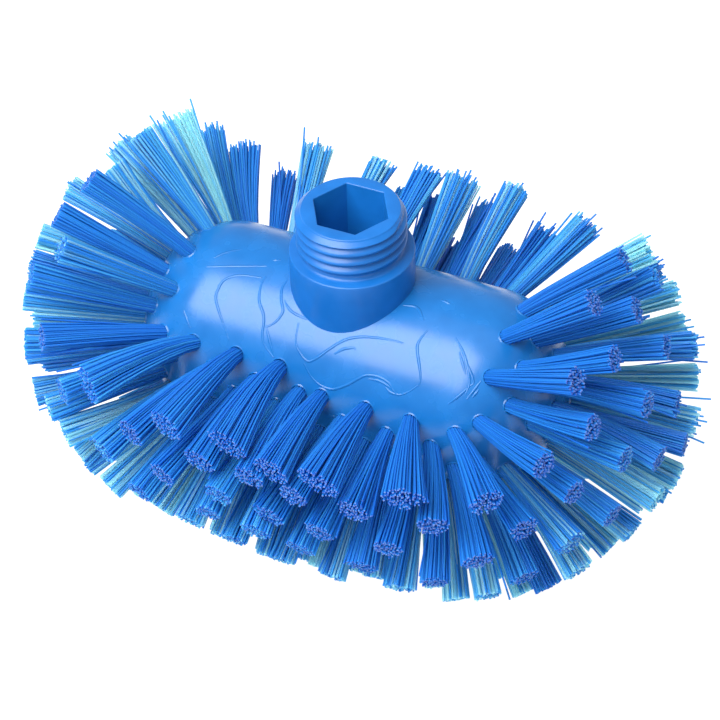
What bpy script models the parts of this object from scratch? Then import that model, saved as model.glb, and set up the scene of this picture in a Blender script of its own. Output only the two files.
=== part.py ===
"""Tank brush: an oval moulded block with tufts all round it, and a threaded neck for a handle.

Metres, +Z up. The block lies along X with its middle line at AXIS_HEIGHT, the neck rises over the
origin, and the brush stands at z = 0 on the cut ends of its lowest tufts. The block's skin is
divided into slices, and each slice carries its own tufts.
"""

import math

import bmesh
import bpy
from mathutils import Matrix, Vector

# The block: a straight barrel with a domed end on each side, an ellipse above its middle line
# and a shallower, fuller curve below it.
BLOCK_LENGTH = 0.1320
BARREL_LENGTH = 0.0798
BLOCK_WIDTH = 0.0590
CREST_RISE = 0.0300
BELLY_DROP = 0.0240
BELLY_FULLNESS_SHARE = 0.87

# The slices of the block's skin that carry the tufts, and the gaps round them.
SLICE_THICKNESS = 0.0045
SEAM_GAP = 0.0003
SEAT_GAP = 0.0004
SADDLE_DEPTH = 0.0080

# Tufts: the length that stands out of the block, and two strands in each that splay to the tip.
# Beyond the fan's limits they lean towards the block's ends, and at the back that starts later.
TUFT_LENGTH = 0.0365
TUFT_ROOT_DEPTH = 0.0020
TUFT_FAN_LEFT = 0.0245
TUFT_FAN_RIGHT = 0.0205
TUFT_FAN_BACK_SHIFT = 0.0030
STRAND_ROOT_RADIUS = 0.0011
STRAND_TIP_RADIUS = 0.0022
STRAND_ROOT_OFFSET = 0.00125
STRAND_TIP_OFFSET = 0.0030
STRAND_SIDES = 3
FLAT_CUT = 0.0005

# Use has pressed down the tufts high on the front, most of all just left of the middle.
PRESSED_TURN = math.radians(22)
PRESSED_PLACE = -0.0160
PRESSED_REACH = 0.0480
PRESSED_ANGLE = math.radians(-26)
PRESSED_SPREAD = math.radians(36)

# Where the tufts stand. Columns run round the front, the belly and the back, each staggered by half
# a step from the next. There is one more of them on the left, and the left-hand ones start further
# up the front. Rings run right round each end, and the last is a single tuft on the pole.
COLUMN_PITCH = 0.00693
COLUMN_SHIFT = 0.0020
COLUMNS_LEFT = 7
COLUMNS_RIGHT = 6
COLUMN_TUFTS = 9
FIRST_ROW_ANGLE = math.radians(-15.3)
LAST_ROW_ANGLE = math.radians(198)
LEFT_COLUMNS_TURN = math.radians(-10.8)
FIRST_RING_LEFT = 0.0510
FIRST_RING_RIGHT = 0.0500
RING_TUFTS = (13, 13, 9, 5, 1)
RING_ANGLES = tuple(math.radians(angle) for angle in (-24.5, -10.6, -25, -45, 0))
CAP_RINGS = (2, 3, 4)
CAP_FACETS = 18
CAP_STEPS = 4
CORE_FACETS = 36

# The neck: a hexagon socket, a round-crested thread round it and a collar set into the block.
SOCKET_ACROSS_FLATS = 0.0200
SOCKET_DEPTH = 0.0300
SOCKET_CORNER_WALL = 0.00285
LIP_STEP = 0.0004
LIP_HEIGHT = 0.0004
THREAD_DEPTH = 0.0012
THREAD_RIDGE_RADIUS = 0.0013
THREAD_PITCH = 0.0032
THREAD_HEIGHT = 0.0144
THREAD_LEAD_IN = 0.0013
THREAD_RUN_OUT = 0.0016
THREAD_START = math.radians(-80)
THREAD_POINTS_A_TURN = 24
COLLAR_STEP = 0.00215
COLLAR_RISE = 0.0109
COLLAR_EDGE = 0.0008
SHOULDER_DROP = 0.0010
INSERT_DEPTH = 0.0160
NECK_FACETS = 48
CUT_OVERRUN = 0.0020

HALF_WIDTH = BLOCK_WIDTH / 2
HALF_BARREL = BARREL_LENGTH / 2
DOME_REACH = (BLOCK_LENGTH - BARREL_LENGTH) / 2
AXIS_HEIGHT = BELLY_DROP + TUFT_LENGTH - FLAT_CUT
POLE = HALF_BARREL + DOME_REACH * math.pi / 2
ROW_STEP = (LAST_ROW_ANGLE - FIRST_ROW_ANGLE) / (2 * COLUMN_TUFTS - 1)
SLICE_START = FIRST_ROW_ANGLE - ROW_STEP / 2
SLICE_FACETS = 2 * COLUMN_TUFTS
SLICE_SWEEP = SLICE_FACETS * ROW_STEP
SOCKET_CORNER = SOCKET_ACROSS_FLATS / math.sqrt(3)
LIP_RADIUS = SOCKET_CORNER + SOCKET_CORNER_WALL
THREAD_ROOT = LIP_RADIUS + LIP_STEP
THREAD_CREST = THREAD_ROOT + THREAD_DEPTH
COLLAR_RADIUS = THREAD_CREST + COLLAR_STEP
COLLAR_TOP = CREST_RISE + COLLAR_RISE
NECK_TOP = COLLAR_TOP + THREAD_HEIGHT
NECK_FOOT = CREST_RISE - INSERT_DEPTH
WELD = SEAM_GAP / 100
SMOOTH_ANGLE = math.radians(35)


def clear_scene():
    for thing in list(bpy.data.objects):
        bpy.data.objects.remove(thing)


def make_collection(name):
    collection = bpy.data.collections.new(name)
    bpy.context.scene.collection.children.link(collection)
    return collection


def make_material(name, colour, roughness):
    material = bpy.data.materials.new(name)
    material.use_nodes = True
    shader = material.node_tree.nodes["Principled BSDF"]
    shader.inputs["Base Color"].default_value = (*colour, 1)
    shader.inputs["Roughness"].default_value = roughness
    shader.inputs["Metallic"].default_value = 0
    return material


def block_plastic():
    """Moulded polypropylene, mid blue with a soft gloss."""
    return make_material("block_polypropylene", (0.030, 0.235, 0.800), 0.36)


def neck_plastic():
    """The neck's polypropylene, a deeper and more matte blue."""
    return make_material("neck_polypropylene", (0.018, 0.165, 0.690), 0.48)


def bristle_filament():
    """Polyester filament, a clear strong blue."""
    return make_material("bristle_polyester", (0.012, 0.150, 0.720), 0.30)


def finished_mesh(name, bm):
    """A closed mesh with its faces out and its round sides shaded smooth."""
    bmesh.ops.remove_doubles(bm, verts=bm.verts, dist=WELD)
    bmesh.ops.recalc_face_normals(bm, faces=bm.faces)
    mesh = bpy.data.meshes.new(name)
    bm.to_mesh(mesh)
    bm.free()
    mesh.shade_smooth()
    mesh.set_sharp_from_angle(angle=SMOOTH_ANGLE)
    return mesh


class Bench:
    """Where pieces are put: the brush's own collection, the guides' one, and their parent."""

    def __init__(self):
        self.brush = make_collection("tank_brush")
        self.guides = make_collection("guides")
        self.middle_line = bpy.data.objects.new("middle_line", None)
        self.middle_line.location = (0, 0, AXIS_HEIGHT)
        self.brush.objects.link(self.middle_line)

    def add(self, name, mesh, material):
        piece = bpy.data.objects.new(name, mesh)
        self.brush.objects.link(piece)
        piece.parent = self.middle_line
        mesh.materials.append(material)
        return piece

    def join(self, target, name, mesh, operation):
        """Joins a shape to a piece, or cuts it out, and keeps the shape as a guide."""
        guide = bpy.data.objects.new(name, mesh)
        self.guides.objects.link(guide)
        guide.parent = self.middle_line
        guide.display_type = "WIRE"
        guide.hide_render = True
        step = target.modifiers.new(name, "BOOLEAN")
        step.operation = operation
        step.object = guide
        step.solver = "EXACT"


def station(along, inset=0.0):
    """X and radius of the block's outline, at a distance along it from the middle."""
    side = math.copysign(1, along)
    straight = min(abs(along), HALF_BARREL)
    turn = (abs(along) - straight) / DOME_REACH
    reach = (DOME_REACH - inset) * math.sin(turn)
    radius = (HALF_WIDTH - inset) * math.cos(turn)
    return side * (straight + reach), max(radius, 0.0)


def on_section(x, radius, angle):
    """A point of the block: angle 0 is the front, and a quarter turn is straight down."""
    across = math.cos(angle)
    down = math.sin(angle)
    if down <= 0:
        return Vector((x, -radius * across, -radius * CREST_RISE / HALF_WIDTH * down))
    across = math.copysign(abs(across) ** BELLY_FULLNESS_SHARE, across)
    down = down**BELLY_FULLNESS_SHARE
    return Vector((x, -radius * across, -radius * BELLY_DROP / HALF_WIDTH * down))


def ring_place(ring, side):
    """How far a ring of tufts lies along the block on one side, -1 or 1."""
    first = FIRST_RING_LEFT if side < 0 else FIRST_RING_RIGHT
    return first + (POLE - first) * ring / (len(RING_TUFTS) - 1)


def ring_ends(side):
    """Where the skin is divided between the rings of one side."""
    return [ring_place(ring + 0.5, side) for ring in range(len(RING_TUFTS) - 1)]


def side_end(side):
    """Where the skin is divided midway between the last column of one side and its first ring."""
    columns = COLUMNS_LEFT if side < 0 else COLUMNS_RIGHT
    last_column = columns * COLUMN_PITCH + side * COLUMN_SHIFT
    return (last_column + ring_place(0, side)) / 2


def turned(name, profile, start, sweep, facets):
    """Turns a profile of (x, radius) points about the middle line, to the block's section."""
    bm = bmesh.new()
    verts = [bm.verts.new((x, -radius * math.cos(start), -radius * math.sin(start))) for x, radius in profile]
    edges = [bm.edges.new(pair) for pair in zip(verts, verts[1:])]
    ends_on_axis = max(profile[0][1], profile[-1][1]) < WELD
    if not ends_on_axis:
        edges.append(bm.edges.new((verts[-1], verts[0])))
    bmesh.ops.spin(bm, geom=verts + edges, cent=(0, 0, 0), axis=(1, 0, 0), angle=sweep, steps=facets)
    bmesh.ops.remove_doubles(bm, verts=bm.verts, dist=WELD)
    bmesh.ops.holes_fill(bm, edges=bm.edges, sides=0)
    for vert in bm.verts:
        radius = math.hypot(vert.co.y, vert.co.z)
        vert.co = on_section(vert.co.x, radius, math.atan2(-vert.co.z, -vert.co.y))
    return finished_mesh(name, bm)


def skin_profile(places, depth):
    """The section of a piece of skin: out along the surface, and back along its inner side."""
    outer = [station(place) for place in places]
    inner = [station(place, depth) for place in reversed(places)]
    return outer + inner


def pressed_turn(along, angle):
    """How far a tuft is pressed down from the way it was set."""
    place = min(abs(along - PRESSED_PLACE) / PRESSED_REACH, 1)
    spread = min(abs(math.remainder(angle - PRESSED_ANGLE, 2 * math.pi)) / PRESSED_SPREAD, 1)
    return PRESSED_TURN * math.cos(place * math.pi / 2) * (1 - spread)


def tuft_way(along, angle, root):
    """The way a tuft points: away from the middle line, and towards the block's ends near them."""
    further = TUFT_FAN_BACK_SHIFT * max(0, -math.cos(angle))
    x = max(-TUFT_FAN_LEFT - further, min(TUFT_FAN_RIGHT + further, root.x))
    out = (root - Vector((x, 0, 0))).normalized()
    return Matrix.Rotation(pressed_turn(along, angle), 3, "X") @ out


def add_tuft(bm, along, angle):
    """Two strands side by side round the block, which splay to their tips."""
    root = on_section(*station(along), angle)
    out = tuft_way(along, angle, root)
    for hand in (-1, 1):
        side = Vector((0, hand * math.sin(angle), -hand * math.cos(angle)))
        foot = root - out * TUFT_ROOT_DEPTH + side * STRAND_ROOT_OFFSET
        tip = root + out * TUFT_LENGTH + side * STRAND_TIP_OFFSET
        lengthwise = (tip - foot).normalized()
        crosswise = side.cross(lengthwise).normalized()
        sideways = lengthwise.cross(crosswise)
        placing = Matrix((crosswise, sideways, lengthwise)).transposed().to_4x4()
        strand = bmesh.ops.create_cone(
            bm,
            cap_ends=True,
            segments=STRAND_SIDES,
            radius1=STRAND_ROOT_RADIUS,
            radius2=STRAND_TIP_RADIUS,
            depth=(tip - foot).length,
            matrix=Matrix.Translation((foot + tip) / 2) @ placing,
        )
        for vert in strand["verts"]:
            vert.co.z = max(vert.co.z, -AXIS_HEIGHT)


def add_slice(bench, name, skin, tufts):
    """A slice of the block's skin with its tufts joined to it."""
    piece = bench.add(name, skin, bristle_filament())
    bm = bmesh.new()
    for along, angle in tufts:
        add_tuft(bm, along, angle)
    bench.join(piece, name + "_strands", finished_mesh(name + "_strands", bm), "UNION")


def add_columns(bench):
    """One open slice for each column of tufts, from the front under the belly to the back."""
    for column in range(-COLUMNS_LEFT, COLUMNS_RIGHT + 1):
        along = COLUMN_SHIFT + column * COLUMN_PITCH
        turn = LEFT_COLUMNS_TURN if column < 0 else 0
        stagger = column % 2
        tufts = []
        for row in range(COLUMN_TUFTS):
            angle = FIRST_ROW_ANGLE + (2 * row + stagger) * ROW_STEP
            tufts.append((along, angle + turn * max(0, math.cos(angle))))
        low = max(along - COLUMN_PITCH / 2, -side_end(-1)) + SEAM_GAP / 2
        high = min(along + COLUMN_PITCH / 2, side_end(1)) - SEAM_GAP / 2
        name = f"bristle_column_{column + COLUMNS_LEFT + 1:02d}"
        profile = skin_profile((low, high), SLICE_THICKNESS)
        skin = turned(name, profile, SLICE_START + turn, SLICE_SWEEP - turn, SLICE_FACETS)
        add_slice(bench, name, skin, tufts)


def ring_tufts(ring, side):
    """The tufts of one ring: where it lies along the block, and the angle of each tuft."""
    along = side * ring_place(ring, side)
    step = 2 * math.pi / RING_TUFTS[ring]
    return [(along, RING_ANGLES[ring] + step * tuft) for tuft in range(RING_TUFTS[ring])]


def add_rings(bench, side, word):
    """Closed slices round one end, each with one ring of tufts."""
    for ring in range(CAP_RINGS[0]):
        seams = [side_end(side), *ring_ends(side)]
        low = seams[ring] + SEAM_GAP / 2
        high = seams[ring + 1] - SEAM_GAP / 2
        facets = 2 * RING_TUFTS[ring]
        name = f"bristle_ring_{word}_{ring + 1}"
        profile = skin_profile((side * low, side * high), SLICE_THICKNESS)
        skin = turned(name, profile, RING_ANGLES[ring] - math.pi / facets, 2 * math.pi, facets)
        add_slice(bench, name, skin, ring_tufts(ring, side))


def add_cap(bench, side, word):
    """The domed slice over one pole, which holds the last rings of tufts."""
    low = ring_ends(side)[CAP_RINGS[0] - 1] + SEAM_GAP / 2
    places = [side * (low + (POLE - low) * step / CAP_STEPS) for step in range(CAP_STEPS + 1)]
    outer = [station(place) for place in reversed(places)]
    inner = [station(place, SLICE_THICKNESS) for place in places]
    name = f"bristle_cap_{word}"
    start = RING_ANGLES[CAP_RINGS[0]] - math.pi / CAP_FACETS
    skin = turned(name, outer + inner, start, 2 * math.pi, CAP_FACETS)
    tufts = [tuft for ring in CAP_RINGS for tuft in ring_tufts(ring, side)]
    add_slice(bench, name, skin, tufts)


def core_mesh():
    """The block's core under the slices, from pole to pole."""
    inset = SLICE_THICKNESS + SEAT_GAP
    places = []
    for side in (-1, 1):
        outward = [side_end(side) - COLUMN_PITCH, side_end(side), *ring_ends(side), POLE]
        places += sorted(side * place for place in outward)
    return turned("core", [station(place, inset) for place in places], 0, 2 * math.pi, CORE_FACETS)


def saddle_mesh(name, low, high, turn):
    """Half of the bare saddle on top of the block, between the front slices and the back ones."""
    bends = [bend for bend in (-HALF_BARREL, HALF_BARREL) if low < bend < high]
    edge = SEAM_GAP / HALF_WIDTH
    start = SLICE_START + SLICE_SWEEP + edge
    sweep = 2 * math.pi - SLICE_SWEEP - 2 * edge + turn
    return turned(name, skin_profile([low, *bends, high], SADDLE_DEPTH), start, sweep, SLICE_FACETS)


def round_bar(name, radius, low, high, facets):
    """An upright bar with flat ends, one of its corners on the block's length."""
    bm = bmesh.new()
    placing = Matrix.Translation((0, 0, (low + high) / 2)) @ Matrix.Rotation(math.pi / 2, 4, "Z")
    bmesh.ops.create_cone(
        bm,
        cap_ends=True,
        segments=facets,
        radius1=radius,
        radius2=radius,
        depth=high - low,
        matrix=placing,
    )
    return finished_mesh(name, bm)


def add_block(bench):
    """The moulded block: its core, the saddle round the neck, and the pocket that holds the neck."""
    block = bench.add("brush_block", core_mesh(), block_plastic())
    middle = COLUMN_SHIFT - (COLUMN_PITCH + SEAM_GAP) / 2
    left = saddle_mesh("saddle_left", SEAM_GAP / 2 - side_end(-1), middle, LEFT_COLUMNS_TURN)
    right = saddle_mesh("saddle_right", middle, side_end(1) - SEAM_GAP / 2, 0)
    bench.join(block, "saddle_left", left, "UNION")
    bench.join(block, "saddle_right", right, "UNION")
    low = NECK_FOOT - SEAT_GAP
    high = CREST_RISE + CUT_OVERRUN
    pocket = round_bar("neck_pocket", COLLAR_RADIUS + SEAT_GAP, low, high, NECK_FACETS)
    bench.join(block, "neck_pocket", pocket, "DIFFERENCE")


def neck_blank(bench):
    """The neck before its thread and socket: a turned profile, from the top down its outer side."""
    profile = (
        (0, NECK_TOP),
        (LIP_RADIUS - LIP_HEIGHT, NECK_TOP),
        (LIP_RADIUS, NECK_TOP - LIP_HEIGHT),
        (THREAD_ROOT, NECK_TOP - THREAD_LEAD_IN),
        (THREAD_ROOT, COLLAR_TOP + SHOULDER_DROP),
        (COLLAR_RADIUS - COLLAR_EDGE, COLLAR_TOP),
        (COLLAR_RADIUS, COLLAR_TOP - COLLAR_EDGE),
        (COLLAR_RADIUS, NECK_FOOT),
        (0, NECK_FOOT),
    )
    mesh = bpy.data.meshes.new("threaded_neck")
    edges = [(index, index + 1) for index in range(len(profile) - 1)]
    mesh.from_pydata([(radius, 0, height) for radius, height in profile], edges, [])
    neck = bench.add("threaded_neck", mesh, neck_plastic())
    screw = neck.modifiers.new("turn", "SCREW")
    screw.steps = NECK_FACETS
    screw.render_steps = NECK_FACETS
    screw.use_merge_vertices = True
    screw.merge_threshold = WELD
    return neck


def thread_mesh():
    """The thread: a round ridge wound down the neck, from just under its lip to the collar."""
    winding = THREAD_CREST - THREAD_RIDGE_RADIUS
    turns = (THREAD_HEIGHT - THREAD_LEAD_IN - THREAD_RUN_OUT) / THREAD_PITCH
    curve = bpy.data.curves.new("thread_ridge", "CURVE")
    curve.dimensions = "3D"
    curve.bevel_depth = THREAD_RIDGE_RADIUS
    curve.bevel_resolution = 2
    curve.use_fill_caps = True
    spline = curve.splines.new("POLY")
    spline.points.add(int(turns * THREAD_POINTS_A_TURN))
    for index, point in enumerate(spline.points):
        turn = turns * index / (len(spline.points) - 1)
        angle = THREAD_START - 2 * math.pi * turn
        height = NECK_TOP - THREAD_LEAD_IN - THREAD_PITCH * turn
        point.co = (winding * math.cos(angle), winding * math.sin(angle), height, 1)
    path = bpy.data.objects.new("thread_ridge", curve)
    bpy.context.scene.collection.objects.link(path)
    shape = path.evaluated_get(bpy.context.evaluated_depsgraph_get())
    bm = bmesh.new()
    bm.from_mesh(bpy.data.meshes.new_from_object(shape))
    bpy.data.objects.remove(path)
    return finished_mesh("thread_ridge", bm)


def add_neck(bench):
    """The threaded neck, seated in the block's pocket."""
    neck = neck_blank(bench)
    socket = round_bar("hexagon_socket", SOCKET_CORNER, NECK_TOP - SOCKET_DEPTH, NECK_TOP + CUT_OVERRUN, 6)
    bench.join(neck, "thread_ridge", thread_mesh(), "UNION")
    bench.join(neck, "hexagon_socket", socket, "DIFFERENCE")


def main():
    clear_scene()
    bench = Bench()
    add_block(bench)
    add_neck(bench)
    add_columns(bench)
    for side, word in ((-1, "left"), (1, "right")):
        add_rings(bench, side, word)
        add_cap(bench, side, word)


main()
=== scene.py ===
# %% [markdown]
# # A tank brush, made ready to render
# The real object is the head of a brush that cleans vessels: an oval block of blue plastic with
# about 200 tufts set all round it, and a threaded neck on top that takes a handle. The packed
# model is loaded first. It is the fixed frame: it says how large everything is and where it
# stands, in metres, and each piece made below takes the place of one of its nodes.

import math
import random

import bmesh
import bpy
from mathutils import Matrix, Vector
from mathutils.bvhtree import BVHTree


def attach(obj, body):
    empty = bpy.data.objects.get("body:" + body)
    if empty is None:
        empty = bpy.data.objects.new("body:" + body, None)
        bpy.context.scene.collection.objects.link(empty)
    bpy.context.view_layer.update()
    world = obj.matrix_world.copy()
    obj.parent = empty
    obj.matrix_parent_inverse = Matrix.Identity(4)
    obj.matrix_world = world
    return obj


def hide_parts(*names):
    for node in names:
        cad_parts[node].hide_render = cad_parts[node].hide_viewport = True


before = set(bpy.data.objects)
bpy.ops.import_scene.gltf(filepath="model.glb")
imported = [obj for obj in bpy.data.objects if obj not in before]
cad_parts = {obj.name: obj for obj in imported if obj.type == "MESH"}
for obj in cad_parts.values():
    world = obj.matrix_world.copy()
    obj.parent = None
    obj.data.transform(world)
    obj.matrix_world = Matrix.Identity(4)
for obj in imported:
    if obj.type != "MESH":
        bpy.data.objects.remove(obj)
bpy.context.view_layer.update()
MM = 0.001

# %% [markdown]
# ## The camera
# The photograph looks down on the brush from the front right, through a long lens, from about 80
# centimetres away. The camera is placed by its turn round the brush, its height above the floor
# and a small roll, and the lens is worked out from how many pixels of the picture one unit of
# slope covers. The same numbers turn a pixel of the photograph into a ray, which is used further
# down to place the flow marks on the block and the ends of the tufts that are seen.

# %% Place the camera
CAMERA_TURN = math.radians(24.91)
CAMERA_HEIGHT = math.radians(42.57)
CAMERA_ROLL = math.radians(-1.82)
CAMERA_DISTANCE = 0.801
LOOK_AT = Vector((0.00025, 0.00253, 0.0550))
PICTURE_SIDE = 720
FOCAL_PIXELS = 2684.8
SENSOR_WIDTH = 36

flat = Vector((math.cos(CAMERA_TURN), math.sin(CAMERA_TURN), 0))
away = Vector((math.sin(CAMERA_TURN), -math.cos(CAMERA_TURN), 0)) * math.cos(CAMERA_HEIGHT)
CAMERA_BACK = away + Vector((0, 0, math.sin(CAMERA_HEIGHT)))
rolled = Matrix.Rotation(CAMERA_ROLL, 3, CAMERA_BACK)
CAMERA_RIGHT = rolled @ flat
CAMERA_UP = rolled @ CAMERA_BACK.cross(flat)
EYE = LOOK_AT + CAMERA_BACK * CAMERA_DISTANCE

camera_data = bpy.data.cameras.new("camera")
camera_data.sensor_width = SENSOR_WIDTH
camera_data.lens = FOCAL_PIXELS / PICTURE_SIDE * SENSOR_WIDTH
camera = bpy.data.objects.new("camera", camera_data)
camera_axes = Matrix((CAMERA_RIGHT, CAMERA_UP, CAMERA_BACK)).transposed()
camera.matrix_world = Matrix.Translation(EYE) @ camera_axes.to_4x4()
bpy.context.scene.collection.objects.link(camera)
bpy.context.scene.camera = camera
print("lens", round(camera_data.lens, 1), "mm, eye", [round(number, 3) for number in EYE])


def pixel_ray(across, down):
    """The direction in which the camera sees a pixel of the photograph."""
    middle = PICTURE_SIDE / 2
    way = CAMERA_RIGHT * (across - middle) + CAMERA_UP * (middle - down)
    return (way / FOCAL_PIXELS - CAMERA_BACK).normalized()


# %% [markdown]
# ## Five helpers
# A node often has several sockets of one name, for numbers, vectors and so on, of which one is in
# use. The first helper finds it. Node trees are long to write, so the second adds a node of any
# kind, sets it, and links or fills its inputs. The third turns a hex colour, as a paint program
# shows it, into the linear numbers that Blender works in. The fourth starts a Geometry Nodes tree
# with named inputs. The fifth runs such a tree on a mesh and keeps the result as a plain mesh,
# because what leaves this scene must not depend on a live modifier.

# %% Helpers for nodes, colours and finished pieces
def first_open(sockets, name=None):
    """The first socket in use, or the first of one name."""
    return next(socket for socket in sockets if socket.enabled and name in (None, socket.name))


def add_node(tree, kind, inputs=None, **settings):
    """Adds a node. An input is a number, or the node or the output that feeds it."""
    node = tree.nodes.new(kind)
    for name, value in settings.items():
        setattr(node, name, value)
    for name, value in (inputs or {}).items():
        socket = first_open(node.inputs, name) if isinstance(name, str) else node.inputs[name]
        if isinstance(value, bpy.types.Node):
            value = first_open(value.outputs)
        if isinstance(value, bpy.types.NodeSocket):
            tree.links.new(value, socket)
        else:
            socket.default_value = value
    return node


def hex_colour(text):
    """A hex colour as the linear red, green, blue and alpha that shaders use."""
    shares = [int(text[place : place + 2], 16) / 255 for place in (1, 3, 5)]
    return [s / 12.92 if s <= 0.04045 else ((s + 0.055) / 1.055) ** 2.4 for s in shares] + [1]


def new_tree(name, sizes):
    """An empty Geometry Nodes tree with named inputs, and its two end nodes."""
    tree = bpy.data.node_groups.new(name, "GeometryNodeTree")
    tree.interface.new_socket("Geometry", in_out="INPUT", socket_type="NodeSocketGeometry")
    tree.interface.new_socket("Geometry", in_out="OUTPUT", socket_type="NodeSocketGeometry")
    for label, value in sizes.items():
        kind = "NodeSocketInt" if isinstance(value, int) else "NodeSocketFloat"
        if isinstance(value, bpy.types.Material):
            kind = "NodeSocketMaterial"
        tree.interface.new_socket(label, in_out="INPUT", socket_type=kind)
    return tree, add_node(tree, "NodeGroupInput").outputs, add_node(tree, "NodeGroupOutput").inputs


def grown(name, start, tree, sizes):
    """Runs a tree on a starting mesh, and keeps what it makes as a piece with a plain mesh."""
    host = bpy.data.objects.new(name, start)
    bpy.context.scene.collection.objects.link(host)
    step = host.modifiers.new("grow", "NODES")
    step.node_group = tree
    for socket in tree.interface.items_tree:
        if socket.in_out == "INPUT" and socket.name in sizes:
            step[socket.identifier] = sizes[socket.name]
    depsgraph = bpy.context.evaluated_depsgraph_get()
    shape = host.evaluated_get(depsgraph)
    mesh = bpy.data.meshes.new_from_object(shape, preserve_all_data_layers=True, depsgraph=depsgraph)
    host.modifiers.remove(step)
    host.data = mesh
    mesh.name = name
    triangles = sum(len(face.vertices) - 2 for face in mesh.polygons)
    print(name, triangles, "triangles")
    return host


# %% [markdown]
# ## What the block measures
# The block is a straight barrel with a domed end on each side. Across, it is an ellipse above its
# middle line and a shallower, slightly fuller curve below it. Places on it are given by two
# numbers: the distance along it from the middle, over the dome to the pole, and the angle round
# it, with 0 at the front and a quarter turn at the bottom. Everything on the block uses these two.

# %% The block's sizes and its rule
BLOCK_LENGTH = 132.0 * MM
BARREL_LENGTH = 79.8 * MM
BLOCK_WIDTH = 59.0 * MM
CREST_RISE = 30.0 * MM
BELLY_DROP = 24.0 * MM
BELLY_FULLNESS = 0.87
TUFT_LENGTH = 36.5 * MM
AXIS_HEIGHT = 60.0 * MM
HALF_WIDTH = BLOCK_WIDTH / 2
HALF_BARREL = BARREL_LENGTH / 2
DOME_REACH = (BLOCK_LENGTH - BARREL_LENGTH) / 2
POLE = HALF_BARREL + DOME_REACH * math.pi / 2


def on_block(along, angle):
    """A point of the block's surface."""
    straight = min(abs(along), HALF_BARREL)
    turn = (abs(along) - straight) / DOME_REACH
    x = math.copysign(straight + DOME_REACH * math.sin(turn), along)
    radius = max(HALF_WIDTH * math.cos(turn), 0)
    across = math.cos(angle)
    down = math.sin(angle)
    drop = CREST_RISE
    if down > 0:
        across = math.copysign(abs(across) ** BELLY_FULLNESS, across)
        down = down**BELLY_FULLNESS
        drop = BELLY_DROP
    return Vector((x, -radius * across, AXIS_HEIGHT - radius * drop / HALF_WIDTH * down))


def off_block(along, angle):
    """The direction straight out of the block's surface."""
    step = 0.05 * MM
    if POLE - abs(along) < step:
        return Vector((math.copysign(1, along), 0, 0))
    lengthwise = on_block(along + step, angle) - on_block(along - step, angle)
    turn = step / HALF_WIDTH
    round_it = on_block(along, angle + turn) - on_block(along, angle - turn)
    return round_it.cross(lengthwise).normalized()


print("pole to pole over the block:", round(2 * POLE / MM, 1), "mm")

# %% [markdown]
# ## Where the tufts are set
# The holes are drilled in columns that run round the front, the belly and the back, staggered like
# bricks, and in rings over the domed ends. The top is left bare round the neck. The columns sit a
# little to the right of the middle, and the left-hand ones start further up the front. A tuft
# points away from the middle line, and towards the ends near them. Use has pressed down the ones
# high on the front, so they leave their holes one way and then bend to another. There is one more
# column on the left: the photograph shows its first tuft and its last.

# %% The tuft plan
COLUMN_PITCH = 6.93 * MM
COLUMN_SHIFT = 2.0 * MM
COLUMNS_LEFT = 7
COLUMNS_RIGHT = 6
COLUMN_TUFTS = 9
FIRST_ROW_ANGLE = math.radians(-15.3)
LAST_ROW_ANGLE = math.radians(198)
LEFT_COLUMNS_TURN = math.radians(-10.8)
FIRST_RING_LEFT = 51.0 * MM
FIRST_RING_RIGHT = 50.0 * MM
RING_TUFTS = (13, 13, 9, 5, 1)
RING_ANGLES = tuple(math.radians(angle) for angle in (-24.5, -10.6, -25, -45, 0))
ROW_STEP = (LAST_ROW_ANGLE - FIRST_ROW_ANGLE) / (2 * COLUMN_TUFTS - 1)
FAN_LEFT = 24.5 * MM
FAN_RIGHT = 20.5 * MM
FAN_BACK_SHIFT = 3.0 * MM
PRESSED_TURN = math.radians(22)
PRESSED_PLACE = -16.0 * MM
PRESSED_REACH = 48.0 * MM
PRESSED_ANGLE = math.radians(-26)
PRESSED_SPREAD = math.radians(36)

tuft_plan = {}
for column in range(-COLUMNS_LEFT, COLUMNS_RIGHT + 1):
    places = []
    stagger = column % 2
    for row in range(COLUMN_TUFTS):
        angle = FIRST_ROW_ANGLE + (2 * row + stagger) * ROW_STEP
        turn = LEFT_COLUMNS_TURN if column < 0 else 0
        places.append((COLUMN_SHIFT + column * COLUMN_PITCH, angle + turn * max(0, math.cos(angle))))
    tuft_plan[f"column_{column + COLUMNS_LEFT + 1:02d}"] = places
for side, word, first in ((-1, "left", FIRST_RING_LEFT), (1, "right", FIRST_RING_RIGHT)):
    rings = []
    for ring, count in enumerate(RING_TUFTS):
        along = side * (first + (POLE - first) * ring / (len(RING_TUFTS) - 1))
        rings.append([(along, RING_ANGLES[ring] + 2 * math.pi / count * tuft) for tuft in range(count)])
    tuft_plan[f"ring_{word}_1"] = rings[0]
    tuft_plan[f"ring_{word}_2"] = rings[1]
    tuft_plan[f"cap_{word}"] = rings[2] + rings[3] + rings[4]
print(sum(len(places) for places in tuft_plan.values()), "tufts in", len(tuft_plan), "groups")


def set_way(along, angle):
    """The way a tuft's hole is drilled: out from the middle line, fanned towards the ends."""
    root = on_block(along, angle)
    further = FAN_BACK_SHIFT * max(0, -math.cos(angle))
    x = max(-FAN_LEFT - further, min(FAN_RIGHT + further, root.x))
    return (root - Vector((x, 0, AXIS_HEIGHT))).normalized()


def pressed_way(along, angle):
    """The way a tuft's tip lies from its hole, after use has pressed it down."""
    place = min(abs(along - PRESSED_PLACE) / PRESSED_REACH, 1)
    spread = min(abs(math.remainder(angle - PRESSED_ANGLE, 2 * math.pi)) / PRESSED_SPREAD, 1)
    turn = PRESSED_TURN * math.cos(place * math.pi / 2) * (1 - spread)
    return Matrix.Rotation(turn, 3, "X") @ set_way(along, angle)


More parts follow.
